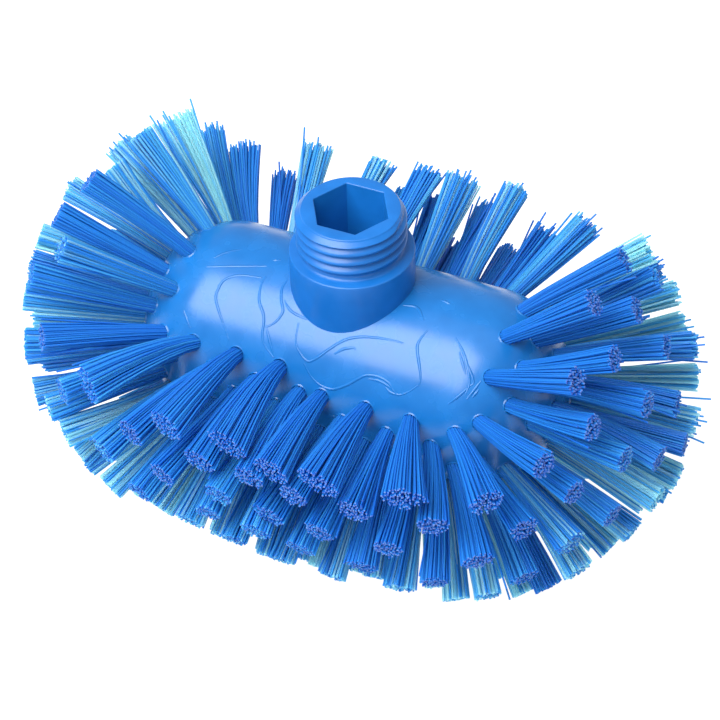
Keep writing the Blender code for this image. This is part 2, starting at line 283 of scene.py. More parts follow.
# %% [markdown]
# ## Finish: moulded polypropylene for the block
# The block is injection-moulded polypropylene, coloured right through. The eye gets a soft,
# slightly uneven gloss from it: the mould was smooth, but the skin shrinks as it cools, so a
# highlight has a blurred and gently wavy edge. A plain colour would look like paper, so noise in
# two sizes drives the roughness and the bump: waves some millimetres long, and a fine mould grain.

# %% Block polypropylene
BLOCK_BLUE = "#1567AD"
BLOCK_BLUE_DEEP = "#1361A5"
BLOCK_ROUGHNESS = (0.22, 0.30)
BLOCK_SPECULAR = 0.42
POLYPROPYLENE_IOR = 1.49
SHRINK_WAVE = 7.0 * MM
SHRINK_RELIEF = 0.12 * MM
SHRINK_STRENGTH = 0.35
SHRINK_DETAIL = 2.0
SHADE_RANGE = (0.35, 0.65)
GLOSS_RANGE = (0.3, 0.7)
MOULD_GRAIN = 0.45 * MM
GRAIN_DETAIL = 3.0
GRAIN_RELIEF = 0.004 * MM
GRAIN_STRENGTH = 0.25


def new_material(name):
    """An empty node material with its output, and a Principled shader linked to it."""
    material = bpy.data.materials.new(name)
    material.use_nodes = True
    tree = material.node_tree
    tree.nodes.clear()
    shader = add_node(tree, "ShaderNodeBsdfPrincipled")
    add_node(tree, "ShaderNodeOutputMaterial", {"Surface": shader})
    return material, tree, shader


def moulded_polypropylene(name, light, deep, roughness, specular):
    """Moulded polypropylene: two shades of its colour, and the range of its roughness."""
    material, tree, shader = new_material(name)
    place = add_node(tree, "ShaderNodeTexCoord").outputs["Object"]
    waves, grain = (
        add_node(tree, "ShaderNodeTexNoise", {"Vector": place, "Scale": 1 / width, "Detail": detail})
        for width, detail in ((SHRINK_WAVE, SHRINK_DETAIL), (MOULD_GRAIN, GRAIN_DETAIL))
    )
    shade = add_node(tree, "ShaderNodeValToRGB", {"Fac": waves.outputs["Fac"]})
    for element, at, colour in zip(shade.color_ramp.elements, SHADE_RANGE, (deep, light)):
        element.position = at
        element.color = hex_colour(colour)
    ranges = {
        "From Min": GLOSS_RANGE[0],
        "From Max": GLOSS_RANGE[1],
        "To Min": roughness[0],
        "To Max": roughness[1],
    }
    rough = add_node(tree, "ShaderNodeMapRange", {"Value": waves.outputs["Fac"], **ranges})
    slow = add_node(
        tree,
        "ShaderNodeBump",
        {"Height": waves.outputs["Fac"], "Strength": SHRINK_STRENGTH, "Distance": SHRINK_RELIEF},
    )
    fine = add_node(
        tree,
        "ShaderNodeBump",
        {
            "Height": grain.outputs["Fac"],
            "Strength": GRAIN_STRENGTH,
            "Distance": GRAIN_RELIEF,
            "Normal": slow,
        },
    )
    tree.links.new(shade.outputs["Color"], shader.inputs["Base Color"])
    tree.links.new(rough.outputs["Result"], shader.inputs["Roughness"])
    tree.links.new(fine.outputs["Normal"], shader.inputs["Normal"])
    shader.inputs["IOR"].default_value = POLYPROPYLENE_IOR
    shader.inputs["Specular IOR Level"].default_value = specular
    return material


block_polypropylene = moulded_polypropylene(
    "block_polypropylene", BLOCK_BLUE, BLOCK_BLUE_DEEP, BLOCK_ROUGHNESS, BLOCK_SPECULAR
)
print("made", block_polypropylene.name, "with", len(block_polypropylene.node_tree.nodes), "nodes")

# %% [markdown]
# ## The block
# Its shape follows a rule, so it is grown by Geometry Nodes: a flat grid is rolled up, its length
# becoming the way along the block and its width the way round. The grid is 2 long and 1 wide, so
# its X is the share of the way from the middle to a pole, and its Y the share of a whole turn. The
# block could be lofted in mesh code as well, but a tree keeps the sizes as inputs that can be
# turned. The same tree drills the holes: a drill stands on each tuft's place, and a ring lies
# round it, for the burr that drilling into soft plastic throws up. One Boolean joins the rings,
# and a second cuts the holes.

# %% The block's tree
HOLE_RADIUS = 2.25 * MM
HOLE_DEPTH = 2.4 * MM
BURR_RADIUS = 2.42 * MM
BURR_THICKNESS = 0.34 * MM
BURR_SINK = 0.14 * MM
DRILL_CORNERS = 20
BURR_CORNERS = 16
BURR_SIDES = 4
WELD = 0.01 * MM
GRID_ALONG = 171
GRID_ROUND = 161

block_sizes = {
    "Half Barrel": HALF_BARREL,
    "Dome Reach": DOME_REACH,
    "Half Width": HALF_WIDTH,
    "Crest Rise": CREST_RISE,
    "Belly Drop": BELLY_DROP,
    "Belly Fullness": BELLY_FULLNESS,
    "Axis Height": AXIS_HEIGHT,
    "Hole Radius": HOLE_RADIUS,
    "Hole Depth": HOLE_DEPTH,
    "Burr Radius": BURR_RADIUS,
    "Burr Thickness": BURR_THICKNESS,
    "Burr Sink": BURR_SINK,
    "Grid Along": GRID_ALONG,
    "Grid Round": GRID_ROUND,
    "Finish": block_polypropylene,
}
tree, size, made = new_tree("drilled_block", block_sizes)
print("the block's tree has", len(block_sizes), "inputs")

# %% Roll a grid up into the block
grid = add_node(
    tree,
    "GeometryNodeMeshGrid",
    {"Size X": 2.0, "Size Y": 1.0, "Vertices X": size["Grid Along"], "Vertices Y": size["Grid Round"]},
)
place = add_node(tree, "ShaderNodeSeparateXYZ", {"Vector": add_node(tree, "GeometryNodeInputPosition")})
arc = add_node(tree, "ShaderNodeMath", {0: size["Dome Reach"], 1: math.pi / 2}, operation="MULTIPLY")
pole = add_node(tree, "ShaderNodeMath", {0: size["Half Barrel"], 1: arc}, operation="ADD")
along = add_node(tree, "ShaderNodeMath", {0: place.outputs["X"], 1: pole}, operation="MULTIPLY")
side = add_node(tree, "ShaderNodeMath", {0: along}, operation="SIGN")
far = add_node(tree, "ShaderNodeMath", {0: along}, operation="ABSOLUTE")
straight = add_node(tree, "ShaderNodeMath", {0: far, 1: size["Half Barrel"]}, operation="MINIMUM")
over = add_node(tree, "ShaderNodeMath", {0: far, 1: straight}, operation="SUBTRACT")
turn = add_node(tree, "ShaderNodeMath", {0: over, 1: size["Dome Reach"]}, operation="DIVIDE")
sine = add_node(tree, "ShaderNodeMath", {0: turn}, operation="SINE")
reach = add_node(
    tree,
    "ShaderNodeMath",
    {0: sine, 1: size["Dome Reach"], 2: straight},
    operation="MULTIPLY_ADD",
)
x = add_node(tree, "ShaderNodeMath", {0: reach, 1: side}, operation="MULTIPLY")
cosine = add_node(tree, "ShaderNodeMath", {0: turn}, operation="COSINE")
narrow = add_node(tree, "ShaderNodeMath", {0: cosine, 1: 0.0}, operation="MAXIMUM")

angle = add_node(tree, "ShaderNodeMath", {0: place.outputs["Y"], 1: 2 * math.pi}, operation="MULTIPLY")
across = add_node(tree, "ShaderNodeMath", {0: angle}, operation="COSINE")
down = add_node(tree, "ShaderNodeMath", {0: angle}, operation="SINE")
below = add_node(tree, "ShaderNodeMath", {0: down, 1: 0.0}, operation="GREATER_THAN")
power = add_node(tree, "ShaderNodeMix", {"Factor": below, "A": 1.0, "B": size["Belly Fullness"]})
height = add_node(tree, "ShaderNodeMix", {"Factor": below, "A": size["Crest Rise"], "B": size["Belly Drop"]})
shares = []
for part in (across, down):
    part_size = add_node(tree, "ShaderNodeMath", {0: part}, operation="ABSOLUTE")
    full = add_node(tree, "ShaderNodeMath", {0: part_size, 1: power}, operation="POWER")
    part_side = add_node(tree, "ShaderNodeMath", {0: part}, operation="SIGN")
    both_ways = add_node(tree, "ShaderNodeMath", {0: full, 1: part_side}, operation="MULTIPLY")
    shares.append(add_node(tree, "ShaderNodeMath", {0: both_ways, 1: narrow}, operation="MULTIPLY"))
y = add_node(tree, "ShaderNodeMath", {0: shares[0], 1: size["Half Width"]}, operation="MULTIPLY")
y_front = add_node(tree, "ShaderNodeMath", {0: y, 1: -1.0}, operation="MULTIPLY")
z_drop = add_node(tree, "ShaderNodeMath", {0: shares[1], 1: height}, operation="MULTIPLY")
z = add_node(tree, "ShaderNodeMath", {0: size["Axis Height"], 1: z_drop}, operation="SUBTRACT")
spot = add_node(tree, "ShaderNodeCombineXYZ", {"X": x, "Y": y_front, "Z": z})
rolled_up = add_node(tree, "GeometryNodeSetPosition", {"Geometry": grid, "Position": spot})
body = add_node(tree, "GeometryNodeMergeByDistance", {"Geometry": rolled_up, "Distance": WELD})
turned_out = add_node(tree, "GeometryNodeFlipFaces", {"Mesh": body})
print("rolling up takes", len(tree.nodes), "nodes")

# %% Drill the holes and raise the burr round each
outward = add_node(tree, "GeometryNodeInputNamedAttribute", {"Name": "outward"}, data_type="FLOAT_VECTOR")
drilled = add_node(tree, "GeometryNodeInputNamedAttribute", {"Name": "leave"}, data_type="FLOAT_VECTOR")
upright = add_node(tree, "FunctionNodeAlignRotationToVector", {"Vector": outward}, axis="Z")
leaning = add_node(tree, "FunctionNodeAlignRotationToVector", {"Vector": drilled}, axis="Z")
drill_length = add_node(tree, "ShaderNodeMath", {0: size["Hole Depth"], 1: 2.0}, operation="MULTIPLY")
drill = add_node(
    tree,
    "GeometryNodeMeshCylinder",
    {"Vertices": DRILL_CORNERS, "Radius": size["Hole Radius"], "Depth": drill_length},
)
drills = add_node(
    tree,
    "GeometryNodeInstanceOnPoints",
    {"Points": size["Geometry"], "Instance": drill, "Rotation": leaning},
)
drill_bodies = add_node(tree, "GeometryNodeRealizeInstances", {"Geometry": drills})
burr_path, burr_round = (
    add_node(tree, "GeometryNodeCurvePrimitiveCircle", {"Resolution": corners, "Radius": size[label]})
    for corners, label in ((BURR_CORNERS, "Burr Radius"), (BURR_SIDES, "Burr Thickness"))
)
burr = add_node(tree, "GeometryNodeCurveToMesh", {"Curve": burr_path, "Profile Curve": burr_round})
sink = add_node(tree, "ShaderNodeVectorMath", {0: outward, "Scale": size["Burr Sink"]}, operation="SCALE")
sink_down = add_node(tree, "ShaderNodeVectorMath", {0: sink, "Scale": -1.0}, operation="SCALE")
burr_places = add_node(tree, "GeometryNodeSetPosition", {"Geometry": size["Geometry"], "Offset": sink_down})
burrs = add_node(
    tree,
    "GeometryNodeInstanceOnPoints",
    {"Points": burr_places, "Instance": burr, "Rotation": upright},
)
burr_bodies = add_node(tree, "GeometryNodeRealizeInstances", {"Geometry": burrs})
raised = add_node(tree, "GeometryNodeMeshBoolean", operation="UNION", solver="MANIFOLD")
tree.links.new(turned_out.outputs["Mesh"], raised.inputs["Mesh 2"])
tree.links.new(burr_bodies.outputs["Geometry"], raised.inputs["Mesh 2"])
cut = add_node(
    tree,
    "GeometryNodeMeshBoolean",
    {"Mesh 1": raised, "Mesh 2": drill_bodies},
    operation="DIFFERENCE",
    solver="MANIFOLD",
)
whole = add_node(tree, "GeometryNodeRealizeInstances", {"Geometry": cut})
finished = add_node(tree, "GeometryNodeSetMaterial", {"Geometry": whole, "Material": size["Finish"]})
tree.links.new(finished.outputs["Geometry"], made["Geometry"])
block_tree = tree
print("drilling brings it to", len(tree.nodes), "nodes")

# %% [markdown]
# The tree needs one point for each tuft, and two directions on it: the way straight out of the
# surface, for the burr, and the way the hole is drilled. They ride on the points as attributes,
# which is how a tree is told something that differs from place to place.

# %% Grow the block
SMOOTH_ANGLE = math.radians(34)


def points_mesh(name, points, attributes):
    """A mesh of loose points, each with its attributes: vectors or numbers by name."""
    mesh = bpy.data.meshes.new(name)
    mesh.from_pydata(points, [], [])
    for label, values in attributes.items():
        is_vector = isinstance(values[0], Vector)
        attribute = mesh.attributes.new(label, "FLOAT_VECTOR" if is_vector else "FLOAT", "POINT")
        flat_values = [number for value in values for number in value] if is_vector else values
        attribute.data.foreach_set("vector" if is_vector else "value", flat_values)
    return mesh


def ready(piece, slot, *nodes):
    """Attaches a piece to the root, and hides the nodes that it stands for. The slot is not used."""
    piece.data.update()
    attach(piece, "root")
    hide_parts(*nodes)


every_tuft = [place for places in tuft_plan.values() for place in places]
directions = {
    "outward": [off_block(*place) for place in every_tuft],
    "leave": [set_way(*place) for place in every_tuft],
}
holes = points_mesh("holes", [on_block(*place) for place in every_tuft], directions)
block = grown("block_moulding", holes, block_tree, block_sizes)
block.data.shade_smooth()
block.data.set_sharp_from_angle(angle=SMOOTH_ANGLE)
ready(block, "block_plastic", "brush_block")

# %% [markdown]
# ## Flow marks
# Where two fronts of molten plastic met in the mould they left fine raised lines, curling round
# the neck and along the top. They could be painted on as bump, but a highlight runs right across
# them and shows their relief, so they are real ridges, a millimetre wide and a quarter high. Each
# is given as a few pixels of the photograph, smoothed, and cast through the camera onto the block.
# They are made only where the photograph shows them. The back of the block is left plain.

# %% Draw the flow marks
MARK_RADIUS = 0.58 * MM
MARK_SINK = 0.32 * MM
MARK_CORNERS = 8
MARK_TAPER = 0.25
MARK_LEAST = 0.75
MARK_STEPS = 6

outer_mark = ((206.8, 266.5), (237.4, 266.2), (266.7, 265.8))
faint_mark = ((213.2, 258.2), (224.6, 253.1), (241.2, 249.2))
dash_mark = ((273.1, 260.1), (280.8, 260.1))
left_loop = (
    (261.6, 277.9), (251.4, 276), (237.4, 275.4), (224.6, 279.8), (218.3, 288.8),
    (216, 300), (222.4, 321.4), (229.1, 340.2),
)
short_mark = ((183.6, 310.7), (190.3, 328.1))
long_loop = ((266.7, 276), (261.6, 283.7), (259.1, 300), (263.9, 317.4), (262.6, 340.2), (273.3, 357.6))
double_mark = ((265.3, 324.1), (270.6, 344.2), (274.6, 357.6))
collar_curl = ((287.1, 279.8), (282, 288.8), (281.3, 300), (282.7, 312), (274.6, 322.8), (266.6, 326.8))
foot_mark = ((284, 300), (290.7, 310.7), (302.8, 317.4), (310.8, 320.1))
front_wave = (
    (298.7, 322.8), (296.1, 344.2), (306.4, 360.6), (316.6, 358.1), (329.3, 349.1),
    (344.6, 340.2), (359.9, 337), (376.5, 337.7), (391.8, 340.2), (403.3, 343.4),
)
front_hook = ((334.4, 354.2), (343.4, 349.1), (353.6, 347.9), (355.5, 350.4))
low_wave = (
    (303.8, 363.2), (311.5, 377.2), (321.7, 386.1), (333.2, 389.3), (347.2, 384.8), (357.4, 379.1),
    (366.3, 375.3), (377.8, 376.6), (388, 382.3), (393.1, 390), (398.2, 395), (409.7, 391.2), (418.6, 384.8),
)
inner_wave = ((368.9, 379.1), (379.1, 381), (388, 386.1), (393.1, 390))
inner_stroke = ((385.5, 387.4), (390.6, 392.5), (398.2, 395))
right_fall = ((427.6, 330), (419.9, 340.2), (417.3, 349.1), (420.5, 374.6), (419.3, 384.8))
right_stroke = ((455.6, 337.7), (464.5, 355.5), (469.6, 381), (465.8, 393.8))
right_inner = ((459.4, 351.7), (465.8, 374.6))
right_outer = ((465.8, 360.6), (473.5, 381), (469.6, 386.1))
right_foot = ((467.1, 388.7), (458.2, 396.3), (448, 404))
right_edge = ((481.1, 381), (467.1, 398.9))
right_nick = ((478.6, 389.9), (472.2, 397.6))
collar_side = ((403, 305), (417, 307.5), (423.4, 320))
collar_nick = ((441.2, 299.8), (450.2, 303.7))
front_nick = ((329.5, 415.2), (340, 417.9))
flow_marks = (
    outer_mark, faint_mark, dash_mark, left_loop, short_mark, long_loop, double_mark, collar_curl,
    foot_mark, front_wave, front_hook, low_wave, inner_wave, inner_stroke, right_fall, right_stroke,
    right_inner, right_outer, right_foot, right_edge, right_nick, collar_side, collar_nick, front_nick,
)

mark_sizes = {"Mark Radius": MARK_RADIUS, "Finish": block_polypropylene}
tree, size, made = new_tree("flow_mark_ridges", mark_sizes)
path = add_node(tree, "GeometryNodeMeshToCurve", {"Mesh": size["Geometry"]})
factor = add_node(tree, "GeometryNodeSplineParameter").outputs["Factor"]
swell = add_node(tree, "ShaderNodeMath", {0: factor, 1: math.pi}, operation="MULTIPLY")
swell_sine = add_node(tree, "ShaderNodeMath", {0: swell}, operation="SINE")
taper = add_node(tree, "ShaderNodeMath", {0: swell_sine, 1: MARK_TAPER}, operation="POWER")
thick = add_node(tree, "ShaderNodeMath", {0: taper, 1: MARK_LEAST}, operation="MAXIMUM")
profile = add_node(
    tree,
    "GeometryNodeCurvePrimitiveCircle",
    {"Resolution": MARK_CORNERS, "Radius": size["Mark Radius"]},
)
ridge = add_node(
    tree,
    "GeometryNodeCurveToMesh",
    {"Curve": path, "Profile Curve": profile, "Scale": thick, "Fill Caps": True},
)
whole = add_node(tree, "GeometryNodeRealizeInstances", {"Geometry": ridge})
finished = add_node(tree, "GeometryNodeSetMaterial", {"Geometry": whole, "Material": size["Finish"]})
tree.links.new(finished.outputs["Geometry"], made["Geometry"])
mark_tree = tree
print(len(flow_marks), "flow marks from", sum(len(mark) for mark in flow_marks), "pixels")


# %% Cast them on the block
def smooth_line(points):
    """A smooth line through a few points of the picture, which is called a Catmull-Rom spline."""
    ends = [points[0], *points, points[-1]]
    line = []
    for before, first, second, after in zip(ends, ends[1:], ends[2:], ends[3:]):
        for step in range(MARK_STEPS):
            t = step / MARK_STEPS
            weights = (
                (-t + 2 * t**2 - t**3) / 2,
                (2 - 5 * t**2 + 3 * t**3) / 2,
                (t + 4 * t**2 - 3 * t**3) / 2,
                (-(t**2) + t**3) / 2,
            )
            four = (before, first, second, after)
            line.append([sum(w * point[axis] for w, point in zip(weights, four)) for axis in (0, 1)])
    return line + [list(points[-1])]


block_surface = BVHTree.FromObject(block, bpy.context.evaluated_depsgraph_get())
mark_points = []
mark_edges = []
for mark in flow_marks:
    before = None
    for across, down in smooth_line(mark):
        spot, normal, index, distance = block_surface.ray_cast(EYE, pixel_ray(across, down))
        if spot is None:
            before = None
            continue
        mark_points.append(spot - normal * MARK_SINK)
        if before is not None:
            mark_edges.append((before, len(mark_points) - 1))
        before = len(mark_points) - 1
lines = bpy.data.meshes.new("flow_mark_lines")
lines.from_pydata(mark_points, mark_edges, [])
marks = grown("flow_marks", lines, mark_tree, mark_sizes)
marks.data.shade_smooth()
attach(marks, "root")

# %% [markdown]
# ## The neck
# The neck is a separate moulding, set in the block: a collar with a narrow ledge on top, a thread
# with rounded crests, and a hexagon socket down its middle. A thread is a rule too, but its rings
# all have the same number of corners, from the socket's floor up its walls, over the top and down
# the outside, so a plain loft in mesh code is shorter. Each ring is a radius for every angle at one
# height: the socket's follow a hexagon, and the thread's rise and fall with the helix. At the top
# the thread begins in the chamfer of the lip, as it does in the photograph.

# %% The neck's sizes
SOCKET_ACROSS_FLATS = 20.0 * MM
SOCKET_DEPTH = 30.0 * MM
SOCKET_EDGE = 0.35 * MM
LIP_RADIUS = SOCKET_ACROSS_FLATS / math.sqrt(3) + 2.85 * MM
LIP_EDGE = 0.4 * MM
THREAD_ROOT = LIP_RADIUS + 0.4 * MM
THREAD_DEPTH = 1.2 * MM
THREAD_PITCH = 3.2 * MM
THREAD_HEIGHT = 14.4 * MM
THREAD_LEAD_IN = 0.55 * MM
THREAD_RUN_OUT = 1.6 * MM
THREAD_START = math.radians(5)
THREAD_CHAMFER = 1.1
THREAD_CREST_POWER = 0.75
THREAD_BEGIN_TURNS = 0.07
THREAD_END_TURNS = 0.25
THREAD_END_LATE = 0.1
COLLAR_RADIUS = THREAD_ROOT + THREAD_DEPTH + 2.15 * MM
COLLAR_TOP = AXIS_HEIGHT + CREST_RISE + 10.9 * MM
COLLAR_EDGE = 0.45 * MM
SHOULDER_DROP = 0.3 * MM
NECK_TOP = COLLAR_TOP + THREAD_HEIGHT
NECK_FOOT = AXIS_HEIGHT + CREST_RISE - 16.0 * MM
NECK_CORNERS = 180
THREAD_ROWS = 96
EDGE_STEPS = 3
LEDGE_STEPS = 6
COLLAR_STEPS = 4
THREAD_TURNS = (THREAD_HEIGHT - THREAD_LEAD_IN - THREAD_RUN_OUT) / THREAD_PITCH
angles = [2 * math.pi * corner / NECK_CORNERS for corner in range(NECK_CORNERS)]
print("thread", round(2 * (THREAD_ROOT + THREAD_DEPTH) / MM, 1), "mm across its crests")


def hexagon(across_flats, angle):
    """How far the side of a hexagon is from its middle, with a corner at angle 0."""
    return across_flats / 2 / math.cos(angle % (math.pi / 3) - math.pi / 6)


def ease(share):
    """Goes from 0 to 1 with a soft start and end."""
    share = max(0, min(1, share))
    return share * share * (3 - 2 * share)


def thread_rise(angle, height):
    """How far the thread stands out of the neck at one place."""
    lead = (THREAD_START - angle) / (2 * math.pi) % 1
    turns = (NECK_TOP - THREAD_LEAD_IN - height) / THREAD_PITCH
    nearest = lead + round(turns - lead)
    phase = turns - nearest
    crest = (0.5 + 0.5 * math.cos(2 * math.pi * phase)) ** THREAD_CREST_POWER
    begin = ease(nearest / THREAD_BEGIN_TURNS)
    end = ease((THREAD_TURNS + THREAD_END_LATE - nearest) / THREAD_END_TURNS)
    return THREAD_DEPTH * crest * begin * end


# %% Loft the neck
def same(radius):
    """A ring that is round."""
    return [radius] * NECK_CORNERS


socket_ring = [hexagon(SOCKET_ACROSS_FLATS, angle) for angle in angles]
rings = [(socket_ring, NECK_TOP - SOCKET_DEPTH), (socket_ring, NECK_TOP - SOCKET_EDGE)]
for step in range(1, EDGE_STEPS + 1):
    turn = step / EDGE_STEPS * math.pi / 2
    wider = 2 * SOCKET_EDGE * (1 - math.cos(turn))
    edge = [hexagon(SOCKET_ACROSS_FLATS + wider, angle) for angle in angles]
    rings.append((edge, NECK_TOP - SOCKET_EDGE * (1 - math.sin(turn))))
for step in range(EDGE_STEPS + 1):
    turn = step / EDGE_STEPS * math.pi / 2
    radius = LIP_RADIUS - LIP_EDGE * (1 - math.sin(turn))
    rings.append((same(radius), NECK_TOP - LIP_EDGE * (1 - math.cos(turn))))
thread_top = NECK_TOP - LIP_EDGE
thread_low = COLLAR_TOP + SHOULDER_DROP
for row in range(1, THREAD_ROWS + 1):
    height = thread_top + (thread_low - thread_top) * row / THREAD_ROWS
    core = LIP_RADIUS + (THREAD_ROOT - LIP_RADIUS) * ease((thread_top - height) / (THREAD_LEAD_IN - LIP_EDGE))
    flare = max(0, 1 - (height - thread_low) / THREAD_RUN_OUT)
    core += THREAD_DEPTH * (1 - math.sqrt(max(0, 1 - flare * flare)))
    most = LIP_RADIUS + THREAD_CHAMFER * (thread_top - height)
    rings.append(([min(core + thread_rise(angle, height), most) for angle in angles], height))
shoulder = THREAD_ROOT + THREAD_DEPTH
for step in range(1, LEDGE_STEPS + 1):
    share = step / LEDGE_STEPS
    radius = shoulder + (COLLAR_RADIUS - COLLAR_EDGE - shoulder) * share
    rings.append((same(radius), thread_low - SHOULDER_DROP * share))
for step in range(1, COLLAR_STEPS + 1):
    turn = step / COLLAR_STEPS * math.pi / 2
    radius = COLLAR_RADIUS - COLLAR_EDGE * (1 - math.sin(turn))
    rings.append((same(radius), COLLAR_TOP - COLLAR_EDGE * (1 - math.cos(turn))))
wall_top = COLLAR_TOP - COLLAR_EDGE
for step in range(1, COLLAR_STEPS + 1):
    rings.append((same(COLLAR_RADIUS), wall_top + (NECK_FOOT - wall_top) * step / COLLAR_STEPS))
print("the neck has", len(rings), "rings")

# %% Skin the rings and finish the neck
bm = bmesh.new()
rows = []
for radii, height in rings:
    corners = zip(radii, angles)
    rows.append([bm.verts.new((r * math.cos(angle), r * math.sin(angle), height)) for r, angle in corners])
for upper, lower in zip(rows, rows[1:]):
    for corner in range(NECK_CORNERS):
        after = (corner + 1) % NECK_CORNERS
        bm.faces.new((upper[corner], upper[after], lower[after], lower[corner]))
bm.faces.new(rows[0])
bm.faces.new(rows[-1])
bmesh.ops.recalc_face_normals(bm, faces=bm.faces)
neck_mesh = bpy.data.meshes.new("neck_moulding")
bm.to_mesh(neck_mesh)
bm.free()
neck_mesh.shade_smooth()
neck_mesh.set_sharp_from_angle(angle=SMOOTH_ANGLE)
neck = bpy.data.objects.new("neck_moulding", neck_mesh)
bpy.context.scene.collection.objects.link(neck)
NECK_BLUE = "#1165B2"
NECK_BLUE_DEEP = "#0F5FA9"
NECK_ROUGHNESS = (0.29, 0.38)
NECK_SPECULAR = 0.44
neck_polypropylene = moulded_polypropylene(
    "neck_polypropylene", NECK_BLUE, NECK_BLUE_DEEP, NECK_ROUGHNESS, NECK_SPECULAR
)
neck_mesh.materials.append(neck_polypropylene)
ready(neck, "neck_plastic", "threaded_neck")
print("neck", len(neck_mesh.polygons), "faces")

# %% [markdown]
# ## Finish: polyester filament
# The bristles are half-millimetre filaments of polyester, drawn through a die and coloured blue.
# The material is clear enough for light to come through: a tuft looks deep blue from the side the
# light is on, and goes turquoise where light comes from behind, most of all near its tip, where
# there are fewer filaments to cross. So the shader mixes a glossy surface with a translucent one.
# A refracting shader would bend the light as well, but needs far more samples for the same look.
# Three attributes vary the colour and the mix. Each tuft has a painted backlight, which paints it
# paler turquoise, and more translucent, where light comes through it from behind. A number for each
# filament gives the streaks, most in the backlit tufts, and the way along from root to tip paints
# the tips a little paler as painted light, where fewer filaments stand in the way. The cut ends
# scatter light and look violet, so they have a colour of their own.

# %% Polyester filament
# The body colour runs from deep blue to pale turquoise; its pale end is painted backlight.
FILAMENT_BODY = ((0.0, "#1E75D4"), (0.35, "#3096E8"), (0.7, "#5AC4F2"), (1.0, "#CCF5FC"))
FILAMENT_GLOW = ((0.0, "#349AF0"), (0.5, "#74D2FA"), (1.0, "#D6FBFF"))
CUT_END = ((0.0, "#2C5CB8"), (1.0, "#8CAAE6"))
STREAK_SPREAD = 0.95
STREAK_LEAST = 0.28
# Painted light: the colour is made paler towards the tip, as light coming through, and darker at the packed
# root.
TIP_PALER = 0.12
GLOW_LEAST = 0.36
GLOW_MOST = 0.85
FILAMENT_ROUGHNESS = 0.38
FILAMENT_SPECULAR = 0.4
POLYESTER_IOR = 1.57

filament_polyester, tree, shader = new_material("filament_polyester")


def ramp(tree, factor, stops):
    """A colour ramp with a colour at each of its stops."""
    node = add_node(tree, "ShaderNodeValToRGB", {"Fac": factor})
    for place, colour in stops[1:-1]:
        node.color_ramp.elements.new(place)
    for element, (place, colour) in zip(node.color_ramp.elements, stops):
        element.position = place
        element.color = hex_colour(colour)
    return node.outputs["Color"]


# The second attribute is each tuft's painted backlight; the third sets the painted paler tips.
tint, clear, way_out, cut_end = (
    add_node(tree, "ShaderNodeAttribute", attribute_name=label).outputs["Fac"]
    for label in ("tint", "clear", "way_out", "cut_end")
)
streak = add_node(
    tree,
    "ShaderNodeMapRange",
    {
        "Value": tint,
        "From Min": 0.0,
        "From Max": 1.0,
        "To Min": -STREAK_SPREAD / 2,
        "To Max": STREAK_SPREAD / 2,
    },
)
# Painted backlight, random streaks and a painted paler tip add up to how pale a filament is.
streak_by = add_node(tree, "ShaderNodeMath", {0: clear, 1: STREAK_LEAST}, operation="ADD")
streaked = add_node(tree, "ShaderNodeMath", {0: streak, 1: streak_by, 2: clear}, operation="MULTIPLY_ADD")
pale = add_node(tree, "ShaderNodeMath", {0: way_out, 1: TIP_PALER, 2: streaked}, operation="MULTIPLY_ADD")
ended = add_node(
    tree,
    "ShaderNodeMix",
    {"Factor": cut_end, "A": ramp(tree, pale, FILAMENT_BODY), "B": ramp(tree, tint, CUT_END)},
    data_type="RGBA",
)
tree.links.new(ended.outputs[2], shader.inputs["Base Color"])
shader.inputs["Roughness"].default_value = FILAMENT_ROUGHNESS
shader.inputs["IOR"].default_value = POLYESTER_IOR
shader.inputs["Specular IOR Level"].default_value = FILAMENT_SPECULAR
glow = add_node(tree, "ShaderNodeBsdfTranslucent", {"Color": ramp(tree, pale, FILAMENT_GLOW)})
share = add_node(
    tree,
    "ShaderNodeMapRange",
    {"Value": pale, "From Min": 0.0, "From Max": 1.0, "To Min": GLOW_LEAST, "To Max": GLOW_MOST},
)
both = add_node(tree, "ShaderNodeMixShader", {0: share, 1: shader, 2: glow})
output = next(node for node in tree.nodes if node.type == "OUTPUT_MATERIAL")
tree.links.new(both.outputs[0], output.inputs["Surface"])
print("made", filament_polyester.name, "with", len(tree.nodes), "nodes")

# %% [markdown]
# ## The tufts
# Each tuft is a bundle of about 100 straight filament ends, folded over a small wire and punched
# into its hole, so it leaves the block tight and round, and then splays. Particles or hair could
# make it, but Geometry Nodes keep every number in view and end in a plain mesh. The tree multiplies
# each tuft's point into filaments, spreads these evenly over the hole as seeds lie in a sunflower,
# stands a line on each, bends it to where its tip goes, and gives it a five-sided skin. Their ends
# were cut on a machine, so they are nearly level, but not quite, and a few filaments stray.

# %% The tuft tree
FILAMENTS = 96
FILAMENT_RADIUS = 0.30 * MM
BUNDLE_RADIUS = 2.0 * MM
LINE_POINTS = 6
END_SCATTER = 0.014
TIP_JITTER = 0.4 * MM
STRAY_SHARE = 0.03
STRAY_REACH = 2.2 * MM
STRAY_LENGTH = 0.12
BACK_RAGGED = 3.0
SPLAY_POWER = 1.15
FILAMENT_SIDES = 5
GOLDEN_ANGLE = math.pi * (3 - math.sqrt(5))

tuft_sizes = {
    "Filaments": FILAMENTS,
    "Filament Radius": FILAMENT_RADIUS,
    "Bundle Radius": BUNDLE_RADIUS,
    "Line Points": LINE_POINTS,
    "End Scatter": END_SCATTER,
    "Tip Jitter": TIP_JITTER,
    "Stray Share": STRAY_SHARE,
    "Stray Reach": STRAY_REACH,
    "Stray Length": STRAY_LENGTH,
    "Seed": 0,
    "Finish": filament_polyester,
}
tree, size, made = new_tree("splayed_tufts", tuft_sizes)
print("the tufts' tree has", len(tuft_sizes), "inputs")

